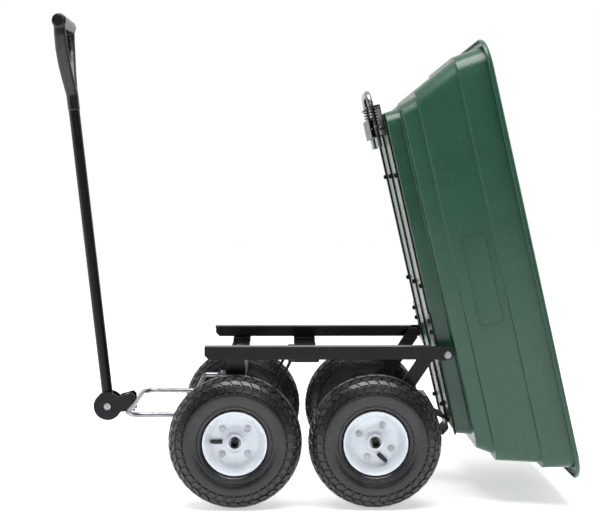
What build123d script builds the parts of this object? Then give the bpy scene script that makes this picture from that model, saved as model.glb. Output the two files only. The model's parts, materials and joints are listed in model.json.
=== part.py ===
from build123d import *
from math import cos, radians, sin
import os

# A four-wheeled garden dump cart, in millimetres, with +Z up and the handle towards -X.
# The load tub is tipped back, as when it is emptied. Left is -Y and right is +Y.
# Points are set out from a ground point midway between the axles; MODEL_SHIFT then centres the cart.
MODEL_SHIFT = -11.2

# Wheels
WHEEL_R = 127.0
WHEELBASE = 265.0
TRACK_HALF = 200.0
SECTION_R = 38.0
TYRE_WALL = 7.0
RIM_R = 62.0
RIM_HALF = 27.5
WEB_HALF = 3.0
WEB_R = 47.0
HUB_R = 15.0
HUB_BORE_R = 11.5
HUB_INNER = 38.0
HUB_OUTER = 16.0
HUB_MOUTH = 4.0
BUSH_LENGTH = 15.0
AXLE_R = 8.0
AXLE_BORE_R = 5.2
AXLE_BORE = 14.0
AXLE_END = 28.0
RUNNING = 0.1
RIM_BOLT_CIRCLE_R = 34.0
FRONT_X = -WHEELBASE / 2
REAR_X = WHEELBASE / 2

# Frame
RAIL_OUT = 190.0
RAIL_IN = 165.0
RAIL_BOTTOM = 280.5
RAIL_TOP = 305.2
STEEL = 3.0
RAIL_FRONT_X = -190.6
PIVOT_X = 271.5
PIVOT_Z = 289.2
CROSS_TOP = 273.7
KINGPIN_Y = 150.5
KINGPIN_R = 6.0
BOLSTER_HALF_X = 18.5
BOLSTER_HALF_Y = 160.0
LOWER_BAR_HALF_Y = 157.5
BOLSTER_BOTTOM = 240.0
LOWER_BAR = (96.0, 104.0)
BRACE_Y = (154.0, 158.0)
PAD_Y = 160.0
HINGE_R = 5.0
EAR_Y = (178.0, 183.0)

# Tub, drawn level: u runs forward along the floor from its rear end, n is the height above the floor
TIP_ANGLE = 77.07
FLOOR_REAR_X = 438.1
FLOOR_Z = 277.3
TUB_WALL = 4.0
BAR = 3.0
BAR_HALF_WIDTH = 7.0
THIN_STEEL = 2.0
BAR_Y = 122.0
BRACKET_Y = (133.0, 151.0)
FLOOR_BOLT_R = 2.5
FLOOR_HEAD_R = 4.5
FLOOR_HEAD_DEPTH = 2.0
FLOOR_BOLT_U = (40.0, 300.0, 520.0)
BRACKET_BOLT_U = (209.0, 231.0)
BRACKET_BOLT_Y = 138.5
RIM_N = 204.0
RIM_LIP = 14.0

# Latch
LATCH_U = (602.0, 664.0)
LATCH_HALF_Y = 75.0
LATCH_DEPTH = 27.0
LEG_Y = 60.0
LEG_N = -17.0
LEG_R = 6.0
LEG_WALL = 1.5
LEG_CLEAR = 0.3
LEG_TIP_U = 582.0
COLLAR_U = 624.0

# Steering and drawbar
ARM_LENGTH = 40.0
ARM_Z = (191.0, 197.0)
ROD_R = 5.0
ROD_HIGH_Z = 202.5
ROD_LOW_Z = 167.5
ROD_FRONT_X = -345.0
LINK_PIN_R = 4.0
CLEVIS_X = -400.6
CLEVIS_Z = 161.4
CLEVIS_R = 28.5
CLEVIS_Y = (14.0, 18.0)

# Handle, set out along its own axis from the clevis bolt
HANDLE_LEAN = 6.1
TUBE_R = 11.0
TUBE_WALL = 2.0
TUBE_SPAN = (28.0, 640.0)
GRIP_START = 604.0
GRIP_BAR_AT = 779.0
GRIP_BAR_R = 15.0


def box(x0, x1, y0, y1, z0, z1):
    return Pos((x0 + x1) / 2, (y0 + y1) / 2, (z0 + z1) / 2) * Box(x1 - x0, y1 - y0, z1 - z0)


def rod_x(y, z, r, x0, x1):
    return Pos((x0 + x1) / 2, y, z) * Rot(0, 90, 0) * Cylinder(r, x1 - x0)


def rod_y(x, z, r, y0, y1):
    return Pos(x, (y0 + y1) / 2, z) * Rot(90, 0, 0) * Cylinder(r, y1 - y0)


def rod_z(x, y, r, z0, z1):
    return Pos(x, y, (z0 + z1) / 2) * Cylinder(r, z1 - z0)


def plate_xz(points, y0, y1):
    """A plate with a side outline of (x, z) points, from y0 to y1."""
    face = make_face(Polyline(points, close=True))
    return extrude(Plane((0, y1, 0), x_dir=(1, 0, 0), z_dir=(0, -1, 0)) * face, y1 - y0)


def strip_xz(start, end, below, above, y0, y1):
    """A straight flat strip between two (x, z) points, reaching that far to the right and left."""
    dx = end[0] - start[0]
    dz = end[1] - start[1]
    length = (dx**2 + dz**2) ** 0.5
    side = (-dz / length, dx / length)
    corners = [
        (start[0] - side[0] * below, start[1] - side[1] * below),
        (end[0] - side[0] * below, end[1] - side[1] * below),
        (end[0] + side[0] * above, end[1] + side[1] * above),
        (start[0] + side[0] * above, start[1] + side[1] * above),
    ]
    return plate_xz(corners, y0, y1)


def hexagon_y(x, z, across, y0, y1):
    """A hexagonal head or nut on an axis along Y."""
    face = Plane((x, y1, z), x_dir=(1, 0, 0), z_dir=(0, -1, 0)) * RegularPolygon(across / 2, 6, False)
    return extrude(face, y1 - y0)


def hexagon_z(x, y, across, z0, z1):
    return extrude(Plane((x, y, z0)) * RegularPolygon(across / 2, 6, False), z1 - z0)


def revolve_y(points):
    """A ring about the Y axis, from an outline of (radius, width) points."""
    return revolve(make_face(Polyline(points, close=True)), Axis.Y)


def on_right(shape):
    return shape


def on_left(shape):
    return mirror(shape, Plane.XZ)


SIDES = {"left": on_left, "right": on_right}


def save(name, *shapes):
    solids = [s for shape in shapes for s in shape.solids()]
    group = Pos(MODEL_SHIFT, 0, 0) * Compound(children=solids)
    export_step(group, f"parts/{name}.step")


# ---------------------------------------------------------------- wheels

def tyre():
    """A hollow pneumatic tyre, open between its beads."""
    centre = WHEEL_R - SECTION_R
    inner = SECTION_R - TYRE_WALL
    drop = centre - RIM_R
    wide = (SECTION_R**2 - drop**2) ** 0.5
    narrow = (inner**2 - drop**2) ** 0.5
    outside = ThreePointArc((RIM_R, wide), (WHEEL_R, 0), (RIM_R, -wide))
    inside = ThreePointArc((RIM_R, -narrow), (centre + inner, 0), (RIM_R, narrow))
    edges = [outside, Line((RIM_R, -wide), (RIM_R, -narrow)), inside, Line((RIM_R, narrow), (RIM_R, wide))]
    return revolve(make_face(edges), Axis.Y)


def rim():
    """Two pressed halves bolted back to back: bead seats, sloping walls and a flat web."""
    seat = 15.2
    valley = 50.5
    wall = 58.5
    half = [(HUB_R, WEB_HALF), (WEB_R, WEB_HALF), (wall, RIM_HALF)]
    half += [(RIM_R, RIM_HALF), (RIM_R, seat), (valley, 1)]
    outline = half + [(r, -w) for r, w in reversed(half)]
    return revolve_y(outline)


def rim_with_holes(first_angle):
    holes = [bolt_at(first_angle + 90 * i, 3.2, -WEB_HALF - 1, WEB_HALF + 1) for i in range(4)]
    return rim() - holes


def bolt_at(angle, r, w0, w1):
    x = RIM_BOLT_CIRCLE_R * cos(radians(angle))
    z = RIM_BOLT_CIRCLE_R * sin(radians(angle))
    return rod_y(x, z, r, w0, w1)


def rim_bolt(angle):
    shank = bolt_at(angle, 3.0, -WEB_HALF - 5, WEB_HALF)
    head = bolt_at(angle, 6.0, WEB_HALF, WEB_HALF + 3)
    nut = bolt_at(angle, 6.0, -WEB_HALF - 5, -WEB_HALF)
    return shank + head + nut


def hub():
    return rod_y(0, 0, HUB_R, -HUB_INNER, HUB_OUTER) - rod_y(0, 0, HUB_BORE_R, -HUB_INNER, HUB_OUTER)


def bush(w0):
    w1 = w0 + BUSH_LENGTH
    return rod_y(0, 0, HUB_BORE_R, w0, w1) - rod_y(0, 0, AXLE_R + RUNNING, w0, w1)


def valve_stem(angle, lean_angle):
    """A rubber stem that lies on the web, from beside the hub outwards."""
    stem = rod_x(0, 0, 4.0, 0, 18) + rod_x(0, 0, 3.2, 18, 22)
    lying = Pos(24, WEB_HALF + 4.0, 0) * Rot(0, lean_angle, 0) * stem
    return Rot(0, angle, 0) * lying


def make_wheel(name, axle_x, place, bolt_angle, valve_angle, valve_lean):
    pieces = {
        "tyre": [tyre()],
        "rim": [rim_with_holes(bolt_angle)],
        "hub": [hub()],
        "bushes": [bush(-HUB_INNER + 2), bush(HUB_OUTER - HUB_MOUTH - BUSH_LENGTH)],
        "rim_bolts": [rim_bolt(bolt_angle + 90 * i) for i in range(4)],
        "valve_stem": [valve_stem(valve_angle, valve_lean)],
    }
    for piece, shapes in pieces.items():
        placed = [place(Pos(axle_x, TRACK_HALF, WHEEL_R) * s) for s in shapes]
        save(f"{name}_{piece}", *placed)


def push_nut(axle_x):
    """The spring ring that keeps a wheel on its axle, inside the mouth of the hub."""
    y = TRACK_HALF + HUB_OUTER - HUB_MOUTH + 0.3
    return rod_y(axle_x, WHEEL_R, 10.5, y, y + 1.5) - rod_y(axle_x, WHEEL_R, AXLE_R, y, y + 1.5)


# ---------------------------------------------------------------- frame

def side_rail():
    """An angle: a tall leg with a rounded rear end, and a flange that turns inwards."""
    end_r = (RAIL_TOP - RAIL_BOTTOM) / 2
    end_z = RAIL_BOTTOM + end_r
    chamfer = 8.0
    outline = [
        (RAIL_FRONT_X, RAIL_TOP),
        (PIVOT_X, RAIL_TOP),
        (PIVOT_X, RAIL_BOTTOM),
        (RAIL_FRONT_X + chamfer, RAIL_BOTTOM),
        (RAIL_FRONT_X, RAIL_BOTTOM + chamfer),
    ]
    leg = plate_xz(outline, RAIL_OUT - STEEL, RAIL_OUT)
    leg += rod_y(PIVOT_X, end_z, end_r, RAIL_OUT - STEEL, RAIL_OUT)
    flange_end_x = PIVOT_X - 32
    flange = box(RAIL_FRONT_X, flange_end_x, RAIL_IN, RAIL_OUT, RAIL_TOP - STEEL, RAIL_TOP)
    hole = rod_y(PIVOT_X, PIVOT_Z, HINGE_R, RAIL_OUT - STEEL, RAIL_OUT)
    return leg + flange - hole


def hinge_bolt():
    bolt = rod_y(PIVOT_X, PIVOT_Z, HINGE_R, EAR_Y[0] - 10, RAIL_OUT)
    bolt += rod_y(PIVOT_X, PIVOT_Z, 7, RAIL_OUT, RAIL_OUT + 1.2)
    bolt += hexagon_y(PIVOT_X, PIVOT_Z, 11.5, RAIL_OUT + 1.2, RAIL_OUT + 5)
    bolt += rod_y(PIVOT_X, PIVOT_Z, 3, RAIL_OUT + 5, RAIL_OUT + 7)
    nut = hexagon_y(PIVOT_X, PIVOT_Z, 17, EAR_Y[0] - 8.3, EAR_Y[0] - 0.3)
    nut -= rod_y(PIVOT_X, PIVOT_Z, HINGE_R, EAR_Y[0] - 9, EAR_Y[0])
    washer = rod_y(PIVOT_X, PIVOT_Z, 9, EAR_Y[1] + 0.3, RAIL_OUT - STEEL)
    washer -= rod_y(PIVOT_X, PIVOT_Z, HINGE_R, EAR_Y[1], RAIL_OUT)
    return [bolt, nut, washer]


def front_bolster():
    """The capped square tube over the front wheels, with pads for the rails and holes for the latch legs."""
    wall = 2.5
    x0 = FRONT_X - BOLSTER_HALF_X
    x1 = FRONT_X + BOLSTER_HALF_X
    tube = box(x0, x1, -BOLSTER_HALF_Y, BOLSTER_HALF_Y, BOLSTER_BOTTOM, CROSS_TOP)
    cap = BOLSTER_HALF_Y - wall
    tube -= box(x0 + wall, x1 - wall, -cap, cap, BOLSTER_BOTTOM + wall, CROSS_TOP - wall)
    tube += box(x0, x1, PAD_Y, RAIL_OUT, CROSS_TOP - wall, RAIL_BOTTOM)
    tube += box(x0, x1, -RAIL_OUT, -PAD_Y, CROSS_TOP - wall, RAIL_BOTTOM)
    for side in (-1, 1):
        tube -= rod_x(side * LEG_Y, FLOOR_Z + LEG_N, LEG_R + LEG_CLEAR, x0 - 1, x0 + wall + 1)
        tube -= rod_z(FRONT_X, side * KINGPIN_Y, KINGPIN_R, BOLSTER_BOTTOM - 1, CROSS_TOP + 1)
        tube -= rod_z(FRONT_X, side * LATCH_HALF_Y, 4, CROSS_TOP - wall - 1, CROSS_TOP + 1)
    return tube


def mid_crossbrace():
    """A flat strap that steps up at each end to meet the rails."""
    bend_out = 156.0
    bend_in = bend_out - STEEL
    strap = box(-19, 27, -bend_out, bend_out, CROSS_TOP - STEEL, CROSS_TOP)
    for side in (-1, 1):
        bend = sorted((side * bend_in, side * bend_out))
        end = sorted((side * bend_in, side * RAIL_OUT))
        strap += box(-19, 27, *bend, CROSS_TOP - STEEL, RAIL_BOTTOM)
        strap += box(-19, 27, *end, RAIL_BOTTOM - STEEL, RAIL_BOTTOM)
    return strap


def lower_bar():
    bar = box(FRONT_X - 14, FRONT_X + 14, -LOWER_BAR_HALF_Y, LOWER_BAR_HALF_Y, *LOWER_BAR)
    for side in (-1, 1):
        bar -= rod_z(FRONT_X, side * KINGPIN_Y, KINGPIN_R, LOWER_BAR[0] - 1, LOWER_BAR[1] + 1)
    return bar


def kingpin():
    pin = rod_z(FRONT_X, KINGPIN_Y, KINGPIN_R, LOWER_BAR[0] - 10, CROSS_TOP)
    pin += rod_z(FRONT_X, KINGPIN_Y, 7.5, CROSS_TOP, CROSS_TOP + 2.5)
    nut = hexagon_z(FRONT_X, KINGPIN_Y, 18, LOWER_BAR[0] - 8, LOWER_BAR[0])
    nut -= rod_z(FRONT_X, KINGPIN_Y, KINGPIN_R, LOWER_BAR[0] - 9, LOWER_BAR[0])
    return [pin, nut]


def front_brace_rod():
    """A round rod from under the mid crossbrace down to the back of the lower bar."""
    top = (-28.0, 266.0)
    foot = (-112.0, 100.0)
    y = 115.0
    dx = top[0] - foot[0]
    dz = top[1] - foot[1]
    length = (dx**2 + dz**2) ** 0.5
    rod = Solid.make_cylinder(3.0, length, Plane((foot[0], y, foot[1]), z_dir=(dx, 0, dz)))
    head_tab = box(top[0] - 4, -12, y - 8, y + 8, CROSS_TOP - STEEL - 4, CROSS_TOP - STEEL)
    foot_tab = box(FRONT_X + 14, foot[0] + 4, y - 8, y + 8, 97, 103)
    return rod + head_tab + foot_tab


def rear_brace():
    """A flat bar from the axle up to the rail, with a tab under the rail's flange."""
    foot = (REAR_X, WHEEL_R)
    top = (249.0, RAIL_TOP - STEEL)
    bar = strip_xz(foot, top, 13.5, 13.5, *BRACE_Y)
    bar += rod_y(REAR_X, WHEEL_R, 18, *BRACE_Y)
    bar -= box(251, 300, 100, 200, 200, 340)
    bar -= box(100, 300, 100, 200, RAIL_TOP - STEEL, 340)
    bar += box(212, 238, BRACE_Y[1], RAIL_OUT - STEEL, RAIL_TOP - 2 * STEEL, RAIL_TOP - STEEL)
    return bar - rod_y(REAR_X, WHEEL_R, AXLE_R, 100, 200)


def axle_mouth(axle_x):
    """The bore in the outer end of a tubular axle."""
    end = TRACK_HALF + AXLE_END
    return rod_y(axle_x, WHEEL_R, AXLE_BORE_R, end - AXLE_BORE, end + 1)


def rear_axle():
    axle = rod_y(REAR_X, WHEEL_R, AXLE_R, -TRACK_HALF - AXLE_END, TRACK_HALF + AXLE_END)
    axle -= [to_side(axle_mouth(REAR_X)) for to_side in SIDES.values()]
    for side in (-1, 1):
        inner = BRACE_Y[1]
        outer = TRACK_HALF - HUB_INNER - 0.3
        y0, y1 = sorted((side * inner, side * outer))
        axle += rod_y(REAR_X, WHEEL_R, 13, y0, y1)
    return axle


def rear_beam():
    """An inverted channel that sits on the rear axle between the braces."""
    top = WHEEL_R + AXLE_R
    beam = box(REAR_X - 15, REAR_X + 15, -BRACE_Y[0], BRACE_Y[0], top - 16, top + STEEL)
    return beam - box(REAR_X - 12, REAR_X + 12, -200, 200, top - 17, top)


def on_tub(u, n):
    """The (x, z) of a point of the level tub."""
    return (FLOOR_REAR_X - u, FLOOR_Z + n)


def tipped(u, n):
    """The (x, z) of a point of the tub when it is tipped."""
    x, z = on_tub(u, n)
    a = radians(TIP_ANGLE)
    dx = x - PIVOT_X
    dz = z - PIVOT_Z
    return (PIVOT_X + dx * cos(a) + dz * sin(a), PIVOT_Z - dx * sin(a) + dz * cos(a))


def rear_stop():
    """A bent plate on the rear beam, whose rear face the tipped tub rests against."""
    half = 38.0
    thick = 4.0
    seat_z = WHEEL_R + AXLE_R + STEEL + thick / 2
    face_n = -BAR - 0.4 - thick / 2
    face_low = tipped(-4, face_n)
    face_high = tipped(16, face_n)
    bends = [(REAR_X - 13, seat_z), (REAR_X + 17, seat_z), (233, 183), (250, 183), (271, 146)]
    bends += [face_high, face_low, (283, 107), (276, 109)]
    plate = rod_y(*bends[0], thick / 2, -half, half)
    for start, end in zip(bends, bends[1:]):
        plate += strip_xz(start, end, thick / 2, thick / 2, -half, half)
        plate += rod_y(*end, thick / 2, -half, half)
    return plate


def frame_bolts():
    bolts = []
    for side in (-1, 1):
        bolt = rod_z(FRONT_X, side * LATCH_HALF_Y, 4, CROSS_TOP - 10, CROSS_TOP)
        bolts.append(bolt + rod_z(FRONT_X, side * LATCH_HALF_Y, 7, CROSS_TOP, CROSS_TOP + 3))
        stop_top = WHEEL_R + AXLE_R + STEEL + 4.0
        bolts.append(hexagon_z(REAR_X, side * 22, 13, stop_top, stop_top + 5))
    return bolts


# ---------------------------------------------------------------- tub

# Each band of the tub: height, front u, rear u, half width, corner radius
BANDS = [
    [(0.0, 643.0, 1.0, 147.0, 32.0), (28.5, 645.0, -8.0, 150.0, 34.0)],
    [(28.5, 650.0, -27.0, 190.0, 38.0), (59.0, 659.0, -46.0, 196.0, 40.0)],
    [(59.0, 668.0, -57.0, 203.0, 42.0), (141.0, 708.0, -79.0, 215.0, 46.0)],
    [(141.0, 713.0, -88.0, 222.0, 48.0), (RIM_N, 721.0, -100.0, 232.0, 50.0)],
]
RIM_EDGE = (733.0, -117.0, 250.0, 58.0)


def outline(n, front, rear, half, corner, shrink=0.0, rise=0.0):
    """A rounded rectangle at one height of the level tub."""
    x_front = FLOOR_REAR_X - front + shrink
    x_rear = FLOOR_REAR_X - rear - shrink
    face = RectangleRounded(x_rear - x_front, 2 * (half - shrink), corner - shrink)
    return Pos((x_front + x_rear) / 2, 0, FLOOR_Z + n + rise) * face


def band(low, high, shrink=0.0, rise=0.0):
    return loft([outline(*low, shrink, rise), outline(*high, shrink, rise)], ruled=True)


def tub_shell():
    """The moulded tub: four stepped bands, thin walls and a rolled rim."""
    front, rear, half, corner = RIM_EDGE
    lip_low = (RIM_N - RIM_LIP, front, rear, half, corner)
    lip_high = (RIM_N - 5, front, rear, half, corner)
    rim_top = (RIM_N, front - 6, rear + 6, half - 6, corner - 6)
    shell = band(lip_low, lip_high) + band(lip_high, rim_top)
    under_top = (RIM_N - TUB_WALL, front, rear, half, corner)
    shell -= band(lip_low, under_top, 3.5)
    for low, high in BANDS:
        shell += band(low, high)
    for low, high in BANDS:
        shell -= band(low, high, TUB_WALL, TUB_WALL)
    inside = FLOOR_Z + TUB_WALL
    shell -= [rod_z(x, y, FLOOR_HEAD_R, inside - FLOOR_HEAD_DEPTH, inside + 1) for x, y in floor_bolts()]
    return drill_floor(shell)


def floor_bolts():
    """The (x, y) of every bolt through the level tub's floor."""
    places = [(u, y) for u in FLOOR_BOLT_U for y in (-BAR_Y, 0, BAR_Y)]
    places += [(u, side * BRACKET_BOLT_Y) for u in BRACKET_BOLT_U for side in (-1, 1)]
    return [(on_tub(u, 0)[0], y) for u, y in places]


def drill_floor(shape):
    """Take the floor bolts' holes out of a piece of the level tub."""
    holes = [rod_z(x, y, FLOOR_BOLT_R, FLOOR_Z - 20, FLOOR_Z + 20) for x, y in floor_bolts()]
    return shape - holes


def tub_bar(y, front_u):
    x0, x1 = u_span(front_u, 0)
    return drill_floor(box(x0, x1, y - BAR_HALF_WIDTH, y + BAR_HALF_WIDTH, FLOOR_Z - BAR, FLOOR_Z))


def hinge_bracket():
    """A plate under the floor, a cross piece under the rail and an ear on the hinge bolt."""
    plate = box(*u_span(245, 150), *BRACKET_Y, FLOOR_Z - BAR, FLOOR_Z)
    cross = box(PIVOT_X - 10, PIVOT_X + 10, BRACKET_Y[0], EAR_Y[1], FLOOR_Z - BAR, FLOOR_Z)
    ear = box(PIVOT_X - 10, PIVOT_X + 10, *EAR_Y, FLOOR_Z - BAR, PIVOT_Z)
    ear += rod_y(PIVOT_X, PIVOT_Z, 10, *EAR_Y)
    return drill_floor(plate + cross + ear - rod_y(PIVOT_X, PIVOT_Z, HINGE_R + RUNNING, 170, 190))


def u_span(front_u, rear_u):
    return (FLOOR_REAR_X - front_u, FLOOR_REAR_X - rear_u)


def latch_bracket():
    """A channel under the tub's front, with two flanges that guide the latch legs."""
    x0, x1 = u_span(LATCH_U[1], LATCH_U[0])
    half = LATCH_HALF_Y
    low = FLOOR_Z - LATCH_DEPTH
    channel = box(x0, x1, -half, half, FLOOR_Z - THIN_STEEL, FLOOR_Z)
    channel += box(x0, x0 + THIN_STEEL, -half, half, low, FLOOR_Z)
    channel += box(x1 - THIN_STEEL, x1, -half, half, low, FLOOR_Z)
    channel += box(x0 + 24, x1, -half, half, low - THIN_STEEL, low)
    for side in (-1, 1):
        channel -= rod_x(side * LEG_Y, FLOOR_Z + LEG_N, LEG_R + LEG_CLEAR, x0 - 1, x1 + 1)
    return channel


def tub_bolts():
    """Bolts through the floor and its bars, with heads sunk into the tub's floor."""
    inside = FLOOR_Z + TUB_WALL - FLOOR_HEAD_DEPTH
    under = FLOOR_Z - BAR
    bolts = []
    for x, y in floor_bolts():
        shank = rod_z(x, y, FLOOR_BOLT_R, under - 5, inside)
        head = rod_z(x, y, FLOOR_HEAD_R, inside, inside + FLOOR_HEAD_DEPTH)
        bolts.append(shank + head + hexagon_z(x, y, 8, under - 4, under))
    return bolts


def latch_rod():
    """A bent round tube: two legs joined by a cross grip."""
    x_tip = FLOOR_REAR_X - LEG_TIP_U
    x_front = FLOOR_REAR_X - 691
    z = FLOOR_Z + LEG_N
    points = [(x_tip, -LEG_Y, z), (x_front, -LEG_Y, z), (x_front, LEG_Y, z), (x_tip, LEG_Y, z)]
    path = FilletPolyline(*points, radius=26)
    section = Plane(points[0], z_dir=(-1, 0, 0))
    return sweep(section * Circle(LEG_R), path=path) - sweep(section * Circle(LEG_R - LEG_WALL), path=path)


def latch_collar(side):
    """A washer on the leg, held by a long pin behind it."""
    x = FLOOR_REAR_X - COLLAR_U
    z = FLOOR_Z + LEG_N
    washer = rod_x(side * LEG_Y, z, 8.8, x, x + 2.5) - rod_x(side * LEG_Y, z, LEG_R, x, x + 2.5)
    pin = rod_z(x + 4, side * LEG_Y, 1.8, z - 8.5, z + 13)
    return washer + pin


def latch_spring(side):
    """A coil round the leg, between the front flange and the washer."""
    start = FLOOR_REAR_X - COLLAR_U - 1.3
    end = FLOOR_REAR_X - LATCH_U[1] + THIN_STEEL + 1.3
    length = start - end
    turns = 6
    helix = Helix(length / turns, length, 7.6)
    coil = sweep(Plane(helix @ 0, z_dir=helix % 0) * Circle(1.0), path=helix)
    return Pos(start, side * LEG_Y, FLOOR_Z + LEG_N) * Rot(0, -90, 0) * coil


def tip(*shapes):
    return [s.rotate(Axis((PIVOT_X, 0, PIVOT_Z), (0, 1, 0)), TIP_ANGLE) for s in shapes]


# ---------------------------------------------------------------- steering and handle

def knuckle():
    """A sleeve on the kingpin, a stub axle for the wheel and an arm that points forward."""
    sleeve = rod_z(FRONT_X, KINGPIN_Y, 9, LOWER_BAR[1] + 0.3, BOLSTER_BOTTOM - 0.3)
    sleeve += rod_y(FRONT_X, WHEEL_R, AXLE_R, KINGPIN_Y, TRACK_HALF + AXLE_END)
    sleeve += rod_y(FRONT_X, WHEEL_R, 13, KINGPIN_Y, TRACK_HALF - HUB_INNER - 0.3)
    sleeve += box(FRONT_X - ARM_LENGTH, FRONT_X, KINGPIN_Y - 8, KINGPIN_Y + 8, *ARM_Z)
    sleeve += rod_z(FRONT_X - ARM_LENGTH, KINGPIN_Y, 8, *ARM_Z)
    sleeve -= rod_z(FRONT_X, KINGPIN_Y, KINGPIN_R + RUNNING, 90, 250)
    sleeve -= axle_mouth(FRONT_X)
    return sleeve - rod_z(FRONT_X - ARM_LENGTH, KINGPIN_Y, LINK_PIN_R + RUNNING, 180, 210)


def drawbar_rod():
    """The bent round bar from both steering arms to the clevis, with a flat eye on each end."""
    pin_x = FRONT_X - ARM_LENGTH
    right = [
        (pin_x - 3.0, KINGPIN_Y - 5.1, ROD_HIGH_Z),
        (-187.0, 139.0, ROD_HIGH_Z),
        (-212.0, 139.0, ROD_HIGH_Z),
        (-230.0, 140.0, ROD_LOW_Z),
        (ROD_FRONT_X, 147.0, ROD_LOW_Z),
    ]
    left = [(x, -y, z) for x, y, z in reversed(right)]
    path = FilletPolyline(*right, *left, radius=[9, 9, 9, 28, 28, 9, 9, 9])
    rod = sweep(Plane(path @ 0, z_dir=path % 0) * Circle(ROD_R), path=path)
    for side in (-1, 1):
        rod += rod_z(pin_x, side * KINGPIN_Y, 9, ROD_HIGH_Z - 4.6, ROD_HIGH_Z + 4.6)
        rod -= rod_z(pin_x, side * KINGPIN_Y, LINK_PIN_R, 180, 220)
    return rod


def link_pin():
    x = FRONT_X - ARM_LENGTH
    top = ROD_HIGH_Z + ROD_R
    pin = rod_z(x, KINGPIN_Y, LINK_PIN_R, ARM_Z[0] - 8, top)
    pin += rod_z(x, KINGPIN_Y, 7, top, top + 3)
    washer = rod_z(x, KINGPIN_Y, 7.5, ARM_Z[0] - 2, ARM_Z[0] - 0.3)
    washer -= rod_z(x, KINGPIN_Y, LINK_PIN_R, 180, 200)
    return [pin, washer]


def clevis():
    """Two plates on the drawbar's front bar, joined by a web."""
    rear_x = ROD_FRONT_X
    low = 148.0
    high = 189.0
    outline_xz = [(CLEVIS_X, low), (rear_x, low + 4), (rear_x, high - 6), (rear_x - 6, high)]
    outline_xz.append((CLEVIS_X + 24, high - 7))
    whole = None
    for side in (-1, 1):
        y0, y1 = sorted((side * CLEVIS_Y[0], side * CLEVIS_Y[1]))
        cheek = plate_xz(outline_xz, y0, y1) + rod_y(CLEVIS_X, CLEVIS_Z, CLEVIS_R, y0, y1)
        whole = cheek if whole is None else whole + cheek
    whole += box(CLEVIS_X + 36, CLEVIS_X + 44, -CLEVIS_Y[0], CLEVIS_Y[0], low + 4, high - 4)
    whole -= rod_y(ROD_FRONT_X, ROD_LOW_Z, ROD_R, -30, 30)
    return whole - rod_y(CLEVIS_X, CLEVIS_Z, HINGE_R, -30, 30)


def clevis_bolt():
    bolt = rod_y(CLEVIS_X, CLEVIS_Z, HINGE_R, -CLEVIS_Y[1], CLEVIS_Y[1] + 9)
    bolt += rod_y(CLEVIS_X, CLEVIS_Z, 7, -CLEVIS_Y[1] - 4, -CLEVIS_Y[1])
    nut = hexagon_y(CLEVIS_X, CLEVIS_Z, 15, CLEVIS_Y[1], CLEVIS_Y[1] + 7)
    return [bolt, nut - rod_y(CLEVIS_X, CLEVIS_Z, HINGE_R, 0, 60)]


def lean(shape):
    """Stand a piece drawn upright from the clevis bolt in the handle's resting place."""
    return Pos(CLEVIS_X, 0, CLEVIS_Z) * Rot(0, -HANDLE_LEAN, 0) * shape


def handle_foot():
    """The eye on the clevis bolt, with a spigot for the tube."""
    foot = rod_y(0, 0, 20, -13.5, 13.5) + rod_z(0, 0, TUBE_R, 0, TUBE_SPAN[0])
    foot += rod_z(0, 0, TUBE_R - TUBE_WALL, 0, TUBE_SPAN[0] + 30)
    return foot - rod_y(0, 0, HINGE_R + RUNNING, -20, 20)


def handle_tube():
    return rod_z(0, 0, TUBE_R, *TUBE_SPAN) - rod_z(0, 0, TUBE_R - TUBE_WALL, *TUBE_SPAN)


def handle_grip():
    """A moulded D grip: a socket for the tube, two arms that spread from it and a cross bar."""
    socket_r = 12.8
    half = 62.0
    socket = rod_z(0, 0, socket_r, GRIP_START, TUBE_SPAN[1] + 10)
    outer_edge = [(socket_r, 626), (22, 650), (34, 680), (46, 707), (56, 735), (half, 760)]
    outer_edge.append((half, GRIP_BAR_AT))
    inner_edge = [(44, GRIP_BAR_AT), (43, 760), (36, 735), (26, 707), (14, 680), (0, 662), (0, 626)]
    face = make_face(Polyline(*outer_edge, *inner_edge, close=True))
    arm = extrude(Plane((-13, 0, 0), x_dir=(0, 1, 0), z_dir=(1, 0, 0)) * face, 26)
    grip = socket + arm + mirror(arm, Plane.XZ)
    grip += rod_y(0, GRIP_BAR_AT, GRIP_BAR_R, -half, half)
    return grip - rod_z(0, 0, TUBE_R, GRIP_START - 1, TUBE_SPAN[1])


# ---------------------------------------------------------------- writing

os.makedirs("parts", exist_ok=True)

for side_name, to_side in SIDES.items():
    save(f"side_rail_{side_name}", to_side(side_rail()))
    save(f"rear_brace_{side_name}", to_side(rear_brace()))
    save(f"hinge_bracket_{side_name}", *tip(to_side(hinge_bracket())))
    save(f"knuckle_{side_name}", to_side(knuckle()))
    save(f"front_push_nut_{side_name}", to_side(push_nut(FRONT_X)))
    make_wheel(f"front_{side_name}", FRONT_X, to_side, 45, 0 if side_name == "right" else 180, 0)
    make_wheel(f"rear_{side_name}", REAR_X, to_side, 65, 77, -35)

save("front_bolster", front_bolster())
save("mid_crossbrace", mid_crossbrace())
save("lower_bar", lower_bar())
save("kingpins", *[f(s) for f in SIDES.values() for s in kingpin()])
save("front_brace_rods", *[f(front_brace_rod()) for f in SIDES.values()])
save("rear_axle", rear_axle())
save("rear_push_nuts", *[f(push_nut(REAR_X)) for f in SIDES.values()])
save("rear_beam", rear_beam())
save("rear_stop", rear_stop())
save("frame_bolts", *frame_bolts())
save("hinge_bolts", *[f(s) for f in SIDES.values() for s in hinge_bolt()])

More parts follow.
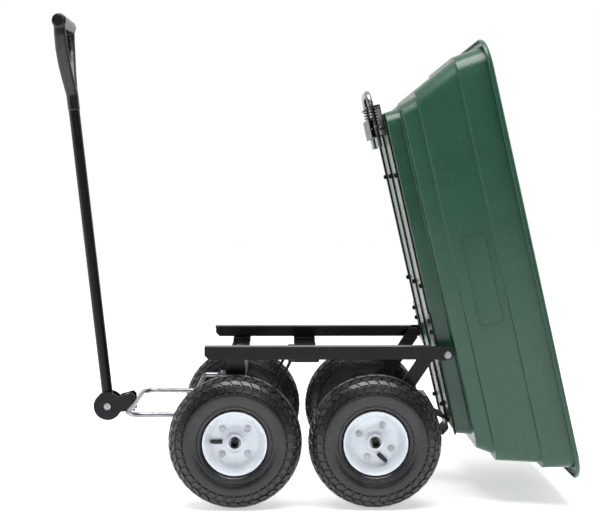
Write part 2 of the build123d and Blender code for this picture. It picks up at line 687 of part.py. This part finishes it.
save("tub_shell", *tip(tub_shell()))
save("floor_bars", *tip(tub_bar(-BAR_Y, 640), tub_bar(0, 602), tub_bar(BAR_Y, 640)))
save("latch_bracket", *tip(latch_bracket()))
save("tub_bolts", *tip(*tub_bolts()))
save("latch_rod", *tip(latch_rod()))
save("latch_collars", *tip(latch_collar(-1), latch_collar(1)))
save("latch_springs", *tip(latch_spring(-1), latch_spring(1)))

save("drawbar_rod", drawbar_rod())
save("link_pins", *[f(s) for f in SIDES.values() for s in link_pin()])
save("clevis", clevis())
save("clevis_bolt", *clevis_bolt())
save("handle_foot", lean(handle_foot()))
save("handle_tube", lean(handle_tube()))
save("handle_grip", lean(handle_grip()))
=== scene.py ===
import json
import math

import bmesh
import bpy
from mathutils import Matrix, Vector


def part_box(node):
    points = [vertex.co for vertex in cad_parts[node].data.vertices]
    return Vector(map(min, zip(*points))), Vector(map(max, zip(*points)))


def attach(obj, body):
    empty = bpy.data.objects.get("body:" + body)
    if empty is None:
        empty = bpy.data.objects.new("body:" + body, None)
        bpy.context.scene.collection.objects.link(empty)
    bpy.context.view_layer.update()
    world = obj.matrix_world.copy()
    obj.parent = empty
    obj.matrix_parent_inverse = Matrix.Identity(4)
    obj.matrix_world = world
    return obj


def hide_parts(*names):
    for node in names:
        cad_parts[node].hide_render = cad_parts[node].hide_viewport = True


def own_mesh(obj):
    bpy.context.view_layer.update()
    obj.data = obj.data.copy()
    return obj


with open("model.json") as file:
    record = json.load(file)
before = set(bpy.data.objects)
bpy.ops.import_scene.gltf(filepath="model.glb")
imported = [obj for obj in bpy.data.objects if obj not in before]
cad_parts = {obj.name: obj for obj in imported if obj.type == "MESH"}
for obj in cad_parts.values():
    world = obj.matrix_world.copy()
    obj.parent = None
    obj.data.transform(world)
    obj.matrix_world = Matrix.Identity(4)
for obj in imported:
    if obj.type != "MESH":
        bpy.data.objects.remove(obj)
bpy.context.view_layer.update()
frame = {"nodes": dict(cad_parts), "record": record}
MM = 0.001


# ---------------------------------------------------------------- places, worked out from the frame

def middle(node):
    low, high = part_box(node)
    return (Vector(low) + Vector(high)) / 2


JOINTS = {j["name"]: j for j in frame["record"]["behaviour"]["joints"]}
WHEELS = ("front_left", "front_right", "rear_left", "rear_right")
TIP_ANGLE = math.radians(-JOINTS["tub_tip"]["range_deg"][0])
HINGE = Vector(JOINTS["tub_tip"]["pos_m"])
CLEVIS = Vector(JOINTS["handle_lift"]["pos_m"])
HANDLE_LEAN = math.radians(6.1)

# The level tub: where u = 0 and n = 0 lie, from the hinge
FLOOR_BEHIND_HINGE = 166.6
FLOOR_BELOW_HINGE = 11.9
FLOOR_REAR_X = HINGE.x + FLOOR_BEHIND_HINGE * MM
FLOOR_Z = HINGE.z - FLOOR_BELOW_HINGE * MM


# ---------------------------------------------------------------- node materials

def new_material(name):
    material = bpy.data.materials.new(name)
    material.use_nodes = True
    return material, material.node_tree.nodes, material.node_tree.links


def add_node(nodes, kind, **values):
    node = nodes.new(kind)
    for key, value in values.items():
        if key in node.inputs:
            node.inputs[key].default_value = value
        else:
            setattr(node, key, value)
    return node


def noise(nodes, links, coords, scale, detail=4.0):
    texture = add_node(nodes, "ShaderNodeTexNoise", Scale=scale, Detail=detail)
    links.new(coords.outputs["Object"], texture.inputs["Vector"])
    return texture


def ramp(nodes, links, source, low, high):
    """A colour ramp from one colour to another, driven by a texture."""
    node = nodes.new("ShaderNodeValToRGB")
    node.color_ramp.elements[0].position = 0.35
    node.color_ramp.elements[1].position = 0.65
    node.color_ramp.elements[0].color = (*low, 1)
    node.color_ramp.elements[1].color = (*high, 1)
    links.new(source, node.inputs["Fac"])
    return node


def spread(nodes, links, source, low, high):
    """A texture's value stretched to a range, for roughness."""
    node = nodes.new("ShaderNodeMapRange")
    node.inputs["From Min"].default_value = 0.3
    node.inputs["From Max"].default_value = 0.7
    node.inputs["To Min"].default_value = low
    node.inputs["To Max"].default_value = high
    links.new(source, node.inputs["Value"])
    return node


GLOSS_PATCH = 3.3
GRAIN_DETAIL = 3.0
GRAIN_DEPTH = 0.0004
COAT_ROUGHNESS = 0.15
BEVEL_SAMPLES = 4


def finish_material(
    name, dark, light, patch, rough, grain, bump, metallic=0.0, bevel=0.0, coat=0.0, specular=0.5
):
    """A surface with soft colour patches, uneven gloss, a fine grain and, with a bevel, soft edges.

    dark and light are linear colours, patch and grain are noise scales per metre,
    rough is the range of roughness, bump the strength of the grain and bevel a radius in metres.
    """
    material, nodes, links = new_material(name)
    shader = nodes["Principled BSDF"]
    coords = nodes.new("ShaderNodeTexCoord")
    large = noise(nodes, links, coords, patch)
    fine = noise(nodes, links, coords, grain, GRAIN_DETAIL)
    tint = ramp(nodes, links, large.outputs["Fac"], dark, light)
    links.new(tint.outputs["Color"], shader.inputs["Base Color"])
    gloss = spread(nodes, links, noise(nodes, links, coords, patch * GLOSS_PATCH).outputs["Fac"], *rough)
    links.new(gloss.outputs["Result"], shader.inputs["Roughness"])
    relief = add_node(nodes, "ShaderNodeBump", Strength=bump, Distance=GRAIN_DEPTH)
    links.new(fine.outputs["Fac"], relief.inputs["Height"])
    if bevel:
        edge = add_node(nodes, "ShaderNodeBevel", Radius=bevel, samples=BEVEL_SAMPLES)
        links.new(edge.outputs["Normal"], relief.inputs["Normal"])
    links.new(relief.outputs["Normal"], shader.inputs["Normal"])
    shader.inputs["Metallic"].default_value = metallic
    shader.inputs["Coat Weight"].default_value = coat
    shader.inputs["Coat Roughness"].default_value = COAT_ROUGHNESS
    shader.inputs["Specular IOR Level"].default_value = specular
    return material


MATERIALS = {
    "green_plastic": finish_material(
        "tub_plastic", (0.015, 0.064, 0.036), (0.018, 0.073, 0.042), 9, (0.24, 0.30), 700, 0.0,
        coat=0.08, specular=0.42,
    ),
    "black_paint": finish_material(
        "black_paint", (0.003, 0.003, 0.004), (0.005, 0.005, 0.007), 30, (0.26, 0.36), 1600, 0.06,
        bevel=0.0010, specular=0.25,
    ),
    "zinc": finish_material(
        "zinc_plate", (0.22, 0.23, 0.25), (0.32, 0.33, 0.35), 55, (0.20, 0.32), 700, 0.03,
        metallic=1.0, bevel=0.0006,
    ),
    "tyre": finish_material(
        "tyre_rubber", (0.009, 0.009, 0.011), (0.015, 0.015, 0.017), 26, (0.24, 0.36), 1300, 0.15,
    ),
    "rim_paint": finish_material(
        "rim_paint", (0.68, 0.72, 0.78), (0.74, 0.78, 0.84), 22, (0.20, 0.30), 1200, 0.05,
        bevel=0.0008, coat=0.3,
    ),
    # The bearing is a near-black metal, darker than bare bearing steel: painted shade for the shaded gap
    # between the hub and the axle.
    "bearing": finish_material(
        "bearing_metal_painted_shade", (0.05, 0.05, 0.05), (0.10, 0.10, 0.10), 120, (0.35, 0.55), 1500, 0.2,
        metallic=1.0,
    ),
    "valve_rubber": finish_material(
        "valve_rubber", (0.004, 0.004, 0.005), (0.008, 0.008, 0.009), 90, (0.40, 0.55), 1800, 0.2,
    ),
    "grip_plastic": finish_material(
        "grip_plastic", (0.004, 0.004, 0.005), (0.007, 0.007, 0.009), 40, (0.22, 0.32), 1500, 0.05,
    ),
}


def dress_cad_nodes():
    """Every CAD node takes its node material from its slot in the record."""
    for part in frame["record"]["subparts"]:
        for slot in frame["nodes"][part["node"]].material_slots:
            slot.material = MATERIALS[part["material_slot"]]


# ---------------------------------------------------------------- mesh helpers

BEVEL_ANGLE = 25
WELD_DISTANCE = 1e-6


def mesh_object(name, mesh_data, slot, smooth_angle=30):
    """A new object from (vertices, faces), shaded smooth except at sharp edges."""
    vertices, faces = mesh_data
    mesh = bpy.data.meshes.new(name)
    mesh.from_pydata([tuple(v) for v in vertices], [], faces)
    work = bmesh.new()
    work.from_mesh(mesh)
    bmesh.ops.remove_doubles(work, verts=work.verts, dist=WELD_DISTANCE)
    bmesh.ops.recalc_face_normals(work, faces=work.faces)
    for edge in work.edges:
        shared = len(edge.link_faces) == 2
        edge.smooth = shared and edge.calc_face_angle() < math.radians(smooth_angle)
    for face in work.faces:
        face.smooth = True
    work.to_mesh(mesh)
    work.free()
    piece = bpy.data.objects.new(name, mesh)
    bpy.context.scene.collection.objects.link(piece)
    mesh.materials.append(MATERIALS[slot])
    return piece


def bridge(rings, closed_loop=False):
    """Quads between neighbouring closed rings of equal length."""
    count = len(rings[0])
    vertices = [p for ring in rings for p in ring]
    faces = []
    pairs = range(len(rings) if closed_loop else len(rings) - 1)
    for i in pairs:
        j = (i + 1) % len(rings)
        for k in range(count):
            m = (k + 1) % count
            faces.append((i * count + k, i * count + m, j * count + m, j * count + k))
    return vertices, faces


def capped(rings):
    """bridge() with a face over the first ring and one over the last."""
    vertices, faces = bridge(rings)
    count = len(rings[0])
    faces.append(tuple(range(count)))
    faces.append(tuple(range(len(vertices) - count, len(vertices))))
    return vertices, faces


def bevel_edges(piece, width):
    """Rounds the sharp edges and keeps the result in the mesh."""
    modifier = piece.modifiers.new("round", "BEVEL")
    modifier.width = width
    modifier.segments = 3
    modifier.limit_method = "ANGLE"
    modifier.angle_limit = math.radians(BEVEL_ANGLE)
    apply_modifiers(piece)
    for polygon in piece.data.polygons:
        polygon.use_smooth = True


def apply_modifiers(piece):
    """Puts the result of the piece's modifiers into its mesh."""
    graph = bpy.context.evaluated_depsgraph_get()
    mesh = bpy.data.meshes.new_from_object(piece.evaluated_get(graph))
    piece.modifiers.clear()
    piece.data = mesh


# ---------------------------------------------------------------- tub

# Bands of the tub in mm: height, front u, rear u, half width, corner radius
BANDS = [
    [(0.0, 643.0, 1.0, 147.0, 32.0), (28.5, 645.0, -8.0, 150.0, 34.0)],
    [(28.5, 650.0, -27.0, 190.0, 38.0), (59.0, 659.0, -46.0, 196.0, 40.0)],
    [(59.0, 668.0, -57.0, 203.0, 42.0), (141.0, 708.0, -79.0, 215.0, 46.0)],
    [(141.0, 713.0, -88.0, 222.0, 48.0), (200.0, 720.5, -99.0, 231.5, 50.0)],
]
RIM_TOP = 204.0
RIM_LIP = 10.5
RIM_EDGE = (733.0, -117.0, 250.0, 58.0)
WALL = 4.0
FLOOR_SKIN = 3.8
CORNER_STEPS = 10
STEP_ROUND = 2.4
TIP = Matrix.Translation(HINGE) @ Matrix.Rotation(TIP_ANGLE, 4, "Y") @ Matrix.Translation(-HINGE)


def from_tub(u, y, n):
    """A point of the tub, given in mm along, across and above its floor, in the tipped pose."""
    return TIP @ Vector((FLOOR_REAR_X - u * MM, y * MM, FLOOR_Z + n * MM))


def tub_ring(n, front, rear, half, corner, inset=0.0, rise=0.0):
    """A rounded rectangle round the tub at one height."""
    radius = max(corner - inset, 1.0)
    u0 = rear + inset
    u1 = front - inset
    w = half - inset
    points = []
    corners = [(u1 - radius, w - radius, 0), (u0 + radius, w - radius, 90)]
    corners += [(u0 + radius, radius - w, 180), (u1 - radius, radius - w, 270)]
    for u, y, first in corners:
        for step in range(CORNER_STEPS + 1):
            a = math.radians(first + 90 * step / CORNER_STEPS)
            points.append(from_tub(u + radius * math.cos(a), y + radius * math.sin(a), n + rise))
    return points


def tub_shell():
    """The moulded shell: up the outside, over the rolled rim and down the inside."""
    front, rear, half, corner = RIM_EDGE
    rings = [tub_ring(*level) for band in BANDS for level in band]
    edge = [
        (RIM_TOP - WALL, 3.2),
        (RIM_TOP - RIM_LIP, 3.0),
        (RIM_TOP - RIM_LIP, 0.0),
        (RIM_TOP - 7.0, 0.0),
        (RIM_TOP - 3.4, 1.3),
        (RIM_TOP - 1.0, 4.0),
        (RIM_TOP, 8.0),
    ]
    rings += [tub_ring(n, front, rear, half, corner, inset) for n, inset in edge]
    inside = [level for band in BANDS for level in band]
    inside[-1] = (RIM_TOP - WALL, *inside[-1][1:])
    rings += [tub_ring(*level, WALL, FLOOR_SKIN) for level in reversed(inside)]
    tub = mesh_object("tub_moulding", capped(rings), "green_plastic")
    bevel_edges(tub, STEP_ROUND * MM)
    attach(tub, "tub")
    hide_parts("tub_shell")


def tub_panel(name, side):
    """The thin raised outline of the blank panel on a side wall."""
    low, high = BANDS[2]
    rear_u, front_u = (208.0, 382.0)
    low_n, high_n = (82.0, 126.0)
    radius = 7.0
    bead = 1.3
    bead_section = ((-1, -0.4), (-0.5, 1.2), (0.5, 1.2), (1, -0.4))

    def on_wall(u, n, out):
        part = (n - low[0]) / (high[0] - low[0])
        half = low[3] + part * (high[3] - low[3])
        return from_tub(u, side * (half + out), n)

    path = []
    corners = [(front_u - radius, high_n - radius, 0), (rear_u + radius, high_n - radius, 90)]
    corners += [(rear_u + radius, low_n + radius, 180), (front_u - radius, low_n + radius, 270)]
    for u, n, first in corners:
        for step in range(7):
            a = math.radians(first + 15 * step)
            path.append((u + radius * math.cos(a), n + radius * math.sin(a), math.cos(a), math.sin(a)))
    rings = []
    for u, n, du, dn in path:
        rings.append([on_wall(u + du * s * bead, n + dn * s * bead, h) for s, h in bead_section])
    panel = mesh_object(name, bridge(rings, closed_loop=True), "green_plastic", 60)
    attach(panel, "tub")


# ---------------------------------------------------------------- wheels

AXLE_UP = (middle("rear_left_tyre") - Vector(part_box("rear_left_tyre")[0])).z / MM
SECTION = 38.0
CROWN = AXLE_UP - SECTION
BEAD_R = 61.2


def revolve(profile, steps):
    """Rings of a (radius, width) outline in mm about the Y axis."""
    rings = []
    for step in range(steps):
        a = 2 * math.pi * step / steps
        rings.append([Vector((r * math.cos(a), w, r * math.sin(a))) * MM for r, w in profile])
    return rings


def tyre_point(turn, across, rho):
    """A point on the tyre: turn round the axle, angle across the tread, and radius of the section."""
    r = CROWN + rho * math.cos(across)
    return Vector((r * math.cos(turn), rho * math.sin(across), r * math.sin(turn))) * MM


def tread_block(turn0, turn1, across0, across1, foot, top, skew):
    """One rubber lug with sloping sides, in 2 by 2 faces so that it follows the tyre's curve."""
    slope = 0.016
    slope_across = 1.4
    vertices = []
    for rho, ease in ((foot, -slope), (top, slope)):
        for i in range(3):
            for j in range(3):
                lean = skew * (j - 1)
                turn = turn0 + lean + ease * 0.5 + (turn1 - turn0 - ease) * i / 2
                inset = ease * slope_across
                across = across0 + inset + (across1 - across0 - 2 * inset) * j / 2
                vertices.append(tyre_point(turn, across, rho))
    faces = []
    for i in range(2):
        for j in range(2):
            a = 9 + i * 3 + j
            faces.append((a, a + 1, a + 4, a + 3))
    rim = [0, 1, 2, 5, 8, 7, 6, 3]
    for k in range(8):
        a = rim[k]
        b = rim[(k + 1) % 8]
        faces.append((a, b, b + 9, a + 9))
    return vertices, faces


def join_meshes(parts):
    vertices = []
    faces = []
    for more_vertices, more_faces in parts:
        base = len(vertices)
        vertices += more_vertices
        faces += [tuple(i + base for i in face) for face in more_faces]
    return vertices, faces


# Rows of lugs on half the tread: start and end across it in degrees, filled share, skew and drop in mm
LUG_ROWS = [
    (1.5, 15.5, 0.84, 0.022, 0.0),
    (18.5, 33.0, 0.80, -0.026, 0.0),
    (36.5, 52.0, 0.82, 0.026, 0.1),
    (55.0, 74.0, 0.78, -0.012, 0.5),
]
LUG_PITCHES = 38
GROOVE_DEPTH = 2.8
TREAD_EDGE = math.radians(77)
SIDEWALL_SINK = 0.8
LUG_ROOT = 0.8
LUG_TOP = 0.15
TYRE_WALL = 7.0
# Raised rings on the sidewall: angle of the section in radians and height in mm
RIBS = ((1.40, 0.5), (1.50, 0.5), (2.02, 0.9))
RIB_WIDTH = 0.022
# The sunk ring beside the rim, and the bead that tucks in behind the rim's edge
DISH = (2.12, 0.035, 1.6)
BEAD_TUCK = (0.08, 1.8)
TYRE_STEPS = 152
RIM_STEPS = 128
WHEEL_TURN = 17
WHEEL_SMOOTH_ANGLE = 38


def tyre_mesh():
    """A carcass with a bead ring and sidewall ribs, and rows of lugs from the crown to the shoulders."""
    groove = SECTION - GROOVE_DEPTH
    bead_angle = math.acos((BEAD_R - CROWN) / SECTION)
    dish_at, dish_width, dish_depth = DISH
    tuck_span, tuck_depth = BEAD_TUCK
    profile = []
    steps = 90
    for step in range(steps + 1):
        a = -bead_angle + 2 * bead_angle * step / steps
        side = abs(a)
        rho = groove if side < TREAD_EDGE else SECTION - SIDEWALL_SINK
        for rib_at, height in RIBS:
            rho += height * math.exp(-(((side - rib_at) / RIB_WIDTH) ** 2))
        rho -= dish_depth * math.exp(-(((side - dish_at) / dish_width) ** 2))
        if side > bead_angle - tuck_span:
            rho -= tuck_depth * (side - bead_angle + tuck_span) / tuck_span
        profile.append((CROWN + rho * math.cos(a), rho * math.sin(a)))
    inner = SECTION - TYRE_WALL
    profile += [(BEAD_R, 18.0), (CROWN + inner * 0.2, inner * 0.95)]
    profile += [(CROWN + inner, 0.0), (CROWN + inner * 0.2, -inner * 0.95), (BEAD_R, -18.0)]
    parts = [bridge(revolve(profile, TYRE_STEPS), closed_loop=True)]
    for side in (-1, 1):
        for row, (start, end, fill, skew, drop) in enumerate(LUG_ROWS):
            for k in range(LUG_PITCHES):
                offset = 0.5 * (row % 2) + 0.25 * (side > 0)
                turn0 = 2 * math.pi * (k + offset) / LUG_PITCHES
                turn1 = turn0 + 2 * math.pi * fill / LUG_PITCHES
                across = sorted((side * math.radians(start), side * math.radians(end)))
                top = SECTION - LUG_TOP - drop
                parts.append(tread_block(turn0, turn1, *across, groove - LUG_ROOT, top, skew))
    return join_meshes(parts)


def rim_mesh():
    """Two pressed halves: rolled outer edge, sloping wall and a flat web with a shallow ring."""
    half = [
        (15.05, 3.0), (20.0, 3.0), (21.5, 3.7), (24.0, 3.7), (25.5, 3.0), (43.0, 3.0), (45.5, 3.6),
        (48.0, 6.0), (51.0, 12.0), (54.0, 18.4), (56.3, 23.6), (57.7, 26.2), (59.2, 27.3), (60.5, 27.3),
        (61.2, 26.2), (61.2, 15.5), (55.0, 7.0), (50.5, 1.2),
    ]
    outline = half + [(r, -w) for r, w in reversed(half)]
    return bridge(revolve(outline, RIM_STEPS), closed_loop=True)


def add_wheels():
    """The same tyre and rim on every axle, each wheel stopped at its own angle."""
    tyre_data = tyre_mesh()
    rim_data = rim_mesh()
    for wheel in WHEELS:
        place = Matrix.Translation(Vector(JOINTS[wheel + "_spin"]["pos_m"]))
        place.translation.y = middle(wheel + "_tyre").y
        start = Matrix.Rotation(math.radians(WHEEL_TURN * WHEELS.index(wheel)), 4, "Y")
        for part, data, slot in (("tyre", tyre_data, "tyre"), ("rim", rim_data, "rim_paint")):
            piece = mesh_object(f"{wheel}_{part}_detail", data, slot, WHEEL_SMOOTH_ANGLE)
            piece.data.transform(place @ start)
            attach(piece, "wheel_" + wheel)
            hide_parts(f"{wheel}_{part}")


# ---------------------------------------------------------------- handle grip

GRIP_BOW = 3.5
ARM_FOOT = 634
ARM_RISE = 145
GRIP_BAR_AT = ARM_FOOT + ARM_RISE
GRIP_STEPS = 20


def grip_ring(y, along, half_x, half_in, direction):
    """An oval ring of the grip, square to a direction in the grip's own plane. The arms bow forward."""
    dy, da = direction
    share = min(max((along - ARM_FOOT) / ARM_RISE, 0), 1)
    bow = GRIP_BOW * math.sin(math.pi * share) if y else 0.0
    points = []
    for step in range(GRIP_STEPS):
        a = 2 * math.pi * step / GRIP_STEPS
        across = half_in * math.cos(a)
        points.append(Vector((half_x * math.sin(a) - bow, y - da * across, along + dy * across)) * MM)
    return points


def grip_tube(stations):
    """A closed oval tube through (y, along, half thickness, half width) stations."""
    rings = []
    for i, (y, along, half_x, half_in) in enumerate(stations):
        before = stations[max(i - 1, 0)]
        after = stations[min(i + 1, len(stations) - 1)]
        dy = after[0] - before[0]
        da = after[1] - before[1]
        size = math.hypot(dy, da)
        rings.append(grip_ring(y, along, half_x, half_in, (dy / size, da / size)))
    return capped(rings)


def handle_grip():
    """A moulded D grip, made from oval tubes that are melted into one skin."""
    socket = [(0, 604, 11.8, 11.8), (0, 607, 12.2, 12.2), (0, 630, 12.4, 12.4), (0, 650, 12.0, 14.0)]
    parts = [grip_tube(socket)]
    arm = [
        (3, ARM_FOOT, 11.6, 8.6), (9, 652, 12.2, 8.6), (20, 676, 12.8, 8.6), (33, 702, 12.9, 8.5),
        (43, 727, 12.8, 8.4), (50, 752, 12.2, 8.4), (53, GRIP_BAR_AT, 12.0, 8.6),
    ]
    parts.append(grip_tube(arm))
    parts.append(grip_tube([(-y, along, half_x, half_in) for y, along, half_x, half_in in arm]))
    bar = [(y, GRIP_BAR_AT, r, r) for y, r in ((-61, 12.0), (-58, 14.8), (-40, 14.4), (0, 14.9))]
    bar += [(-y, along, half_x, half_in) for y, along, half_x, half_in in reversed(bar[:-1])]
    parts.append(grip_tube(bar))
    grip = mesh_object("d_grip_moulding", join_meshes(parts), "grip_plastic", 50)
    remesh = grip.modifiers.new("melt", "REMESH")
    remesh.mode = "VOXEL"
    remesh.voxel_size = 1.3 * MM
    soften = grip.modifiers.new("soften", "SMOOTH")
    soften.factor = 0.6
    soften.iterations = 14
    apply_modifiers(grip)
    for polygon in grip.data.polygons:
        polygon.use_smooth = True
    stand = Matrix.Translation(Vector((CLEVIS.x, 0, CLEVIS.z))) @ Matrix.Rotation(-HANDLE_LEAN, 4, "Y")
    grip.data.transform(stand)
    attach(grip, "handle")
    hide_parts("handle_grip")


# ---------------------------------------------------------------- latch springs

# All in mm on the level tub: the legs' place, and the coils between the washers and the front flange
LEG_Y = 60.0
LEG_N = -17.0
SPRING_U = (625.3, 660.7)
SPRING_R = 7.6
SPRING_TURNS = 6
WIRE_R = 1.0
WIRE_STEPS = 8


def latch_springs():
    """Two coils round the latch legs, between the washers and the front flange."""
    per_turn = 20
    steps = SPRING_TURNS * per_turn
    parts = []
    for side in (-1, 1):
        rings = []
        for step in range(steps + 1):
            a = 2 * math.pi * step / per_turn
            u = SPRING_U[0] + (SPRING_U[1] - SPRING_U[0]) * step / steps
            ring = []
            for k in range(WIRE_STEPS):
                b = 2 * math.pi * k / WIRE_STEPS
                r = SPRING_R + WIRE_R * math.cos(b)
                y = side * LEG_Y + r * math.cos(a)
                ring.append(from_tub(u + WIRE_R * math.sin(b), y, LEG_N + r * math.sin(a)))
            rings.append(ring)
        parts.append(capped(rings))
    coils = mesh_object("latch_coils", join_meshes(parts), "black_paint", 60)
    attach(coils, "tub")
    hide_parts("latch_springs")
    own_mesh(coils)


# ---------------------------------------------------------------- stage, light and camera

def stage():
    """A plain pale floor, large enough to reach past every view."""
    floor_mesh = bpy.data.meshes.new("floor")
    floor_mesh.from_pydata([(-9, -6, 0), (9, -6, 0), (9, 12, 0), (-9, 12, 0)], [], [(0, 1, 2, 3)])
    floor = bpy.data.objects.new("floor", floor_mesh)
    bpy.context.scene.collection.objects.link(floor)
    material, nodes, _ = new_material("pale_floor")
    shader = nodes["Principled BSDF"]
    shader.inputs["Base Color"].default_value = (0.92, 0.92, 0.92, 1)
    shader.inputs["Roughness"].default_value = 0.7
    shader.inputs["Specular IOR Level"].default_value = 0.2
    shader.inputs["Emission Color"].default_value = (1, 1, 1, 1)
    shader.inputs["Emission Strength"].default_value = 0.5
    floor_mesh.materials.append(material)


def area_light(name, place, target, size, power):
    """A soft rectangular light that the camera itself doesn't see."""
    data = bpy.data.lights.new(name, "AREA")
    data.shape = "RECTANGLE"
    data.size, data.size_y = size
    data.energy = power
    light = bpy.data.objects.new(name, data)
    light.location = place
    light.rotation_euler = (Vector(target) - Vector(place)).to_track_quat("-Z", "Y").to_euler()
    light.visible_camera = False
    bpy.context.scene.collection.objects.link(light)


def studio_world():
    """White to the eye, and a room that is bright behind the cart and darker in front of it."""
    world = bpy.data.worlds.new("studio")
    bpy.context.scene.world = world
    world.use_nodes = True
    nodes = world.node_tree.nodes
    links = world.node_tree.links
    background = nodes["Background"]
    background.inputs["Color"].default_value = (1, 1, 1, 1)
    direction = nodes.new("ShaderNodeTexCoord")
    split = nodes.new("ShaderNodeSeparateXYZ")
    links.new(direction.outputs["Generated"], split.inputs["Vector"])
    room = nodes.new("ShaderNodeMapRange")
    room.inputs["From Min"].default_value = -0.35
    room.inputs["From Max"].default_value = 0.45
    room.inputs["To Min"].default_value = 0.08
    room.inputs["To Max"].default_value = 1.0
    links.new(split.outputs["Y"], room.inputs["Value"])
    path = nodes.new("ShaderNodeLightPath")
    choose = nodes.new("ShaderNodeMath")
    choose.operation = "MAXIMUM"
    links.new(path.outputs["Is Camera Ray"], choose.inputs[0])
    links.new(room.outputs["Result"], choose.inputs[1])
    links.new(choose.outputs["Value"], background.inputs["Strength"])


def lights():
    """A large soft light overhead and two weaker ones, with the plain colour transform."""
    area_light("top", (0.1, -0.7, 3.0), (0.1, -0.1, 0.3), (2.6, 1.6), 110)
    area_light("left", (-3.0, -0.5, 0.9), (0.2, 0, 0.5), (2.0, 2.0), 15)
    area_light("front", (0.6, -4.2, 2.6), (0.1, 0, 0.4), (1.6, 1.2), 24)
    bpy.context.scene.view_settings.view_transform = "Standard"


# The focal length is in picture widths, and the two angles are in radians
SENSOR_MM = 36.0
FOCAL_WIDTHS = 2.009
CAMERA_DROP = 0.060
CAMERA_PAN = -0.0112


def camera():
    """A view from the cart's left side, tilted a little downwards."""
    data = bpy.data.cameras.new("camera")
    data.sensor_width = SENSOR_MM
    data.lens = SENSOR_MM * FOCAL_WIDTHS
    view = bpy.data.objects.new("camera", data)
    view.location = (-0.0461, -2.4618, 0.5991)
    view.rotation_euler = (math.radians(90) - CAMERA_DROP, 0, CAMERA_PAN)
    bpy.context.scene.collection.objects.link(view)
    bpy.context.scene.camera = view


camera()
stage()
studio_world()
lights()
dress_cad_nodes()
tub_shell()
tub_panel("tub_panel_left", -1)
tub_panel("tub_panel_right", 1)
add_wheels()
handle_grip()
latch_springs()
